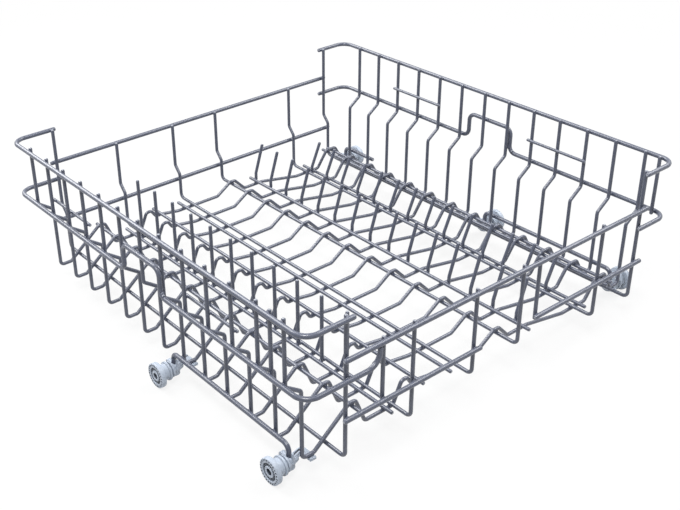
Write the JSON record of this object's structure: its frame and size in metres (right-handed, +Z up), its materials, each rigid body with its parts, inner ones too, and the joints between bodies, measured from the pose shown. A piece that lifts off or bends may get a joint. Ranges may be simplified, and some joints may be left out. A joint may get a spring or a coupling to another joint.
{
  "type": "dishwasher basket",
  "caption": "Lower dishwasher basket of welded coated wire with humped floor, plate tines and low end walls, on flanged plastic rollers.",
  "frame": {"origin": "centre of the basket's box, on the track that the rollers stand on", "axes": "+Z up, +Y from the near low wall to the far wall, +X from the left wall to the right wall"},
  "size_m": [0.5078, 0.515, 0.178],
  "materials": {
    "coated_wire": "satin nylon coat",
    "roller_plastic": "moulded, satin"
  },
  "bodies": {
    "basket": {"carrier_wire_far_right": "coated_wire", "carrier_wire_left": "coated_wire", "carrier_wire_right": "coated_wire", "corner_strut_left": "coated_wire", "corner_strut_right": "coated_wire", "cross_wire_01": "coated_wire", "cross_wire_02": "coated_wire", "cross_wire_03": "coated_wire", "cross_wire_04": "coated_wire", "cross_wire_05": "coated_wire", "cross_wire_06": "coated_wire", "cross_wire_07": "coated_wire", "cross_wire_08": "coated_wire", "cross_wire_09": "coated_wire", "cross_wire_10": "coated_wire", "cross_wire_11": "coated_wire", "cross_wire_12": "coated_wire", "cross_wire_13": "coated_wire", "far_low_rail": "coated_wire", "far_top_rail": "coated_wire", "floor_rod_01": "coated_wire", "floor_rod_02": "coated_wire", "floor_rod_03": "coated_wire", "floor_rod_04": "coated_wire", "floor_rod_05": "coated_wire", "floor_rod_06": "coated_wire", "floor_rod_07": "coated_wire", "floor_rod_08": "coated_wire", "long_wire_corner_left": "coated_wire", "long_wire_corner_right": "coated_wire", "long_wire_hump_3": "coated_wire", "long_wire_middle": "coated_wire", "long_wire_tine_1": "coated_wire", "long_wire_tine_3": "coated_wire", "near_low_rail_left": "coated_wire", "near_low_rail_right": "coated_wire", "near_top_rail": "coated_wire", "near_upright_left": "coated_wire", "near_upright_right": "coated_wire", "roller_carrier_1": "roller_plastic", "roller_carrier_2": "roller_plastic", "roller_carrier_3": "roller_plastic", "roller_carrier_4": "roller_plastic", "roller_carrier_5": "roller_plastic", "side_mid_rail_left": "coated_wire", "side_mid_rail_right": "coated_wire", "side_top_rail_left": "coated_wire", "side_top_rail_right": "coated_wire", "tine_row_1": "coated_wire", "tine_row_2": "coated_wire", "tine_row_3": "coated_wire", "wall_ties_left": "coated_wire", "wall_ties_right": "coated_wire"},
    "roller_1": {"roller_1": "roller_plastic"},
    "roller_2": {"roller_2": "roller_plastic"},
    "roller_3": {"roller_3": "roller_plastic"},
    "roller_4": {"roller_4": "roller_plastic"},
    "roller_5": {"roller_5": "roller_plastic"}
  },
  "joints": [
    {"name": "roller_1_spin", "type": "hinge", "parent": "basket", "child": "roller_1", "pos_m": [-0.239, -0.02607, 0.0135], "axis": [1, 0, 0], "continuous": true},
    {"name": "roller_2_spin", "type": "hinge", "parent": "basket", "child": "roller_2", "pos_m": [-0.239, -0.2104, 0.0135], "axis": [1, 0, 0], "continuous": true},
    {"name": "roller_3_spin", "type": "hinge", "parent": "basket", "child": "roller_3", "pos_m": [0.239, 0.232, 0.0135], "axis": [1, 0, 0], "continuous": true},
    {"name": "roller_4_spin", "type": "hinge", "parent": "basket", "child": "roller_4", "pos_m": [0.239, -0.02607, 0.0135], "axis": [1, 0, 0], "continuous": true},
    {"name": "roller_5_spin", "type": "hinge", "parent": "basket", "child": "roller_5", "pos_m": [0.239, -0.2104, 0.0135], "axis": [1, 0, 0], "continuous": true}
  ]
}
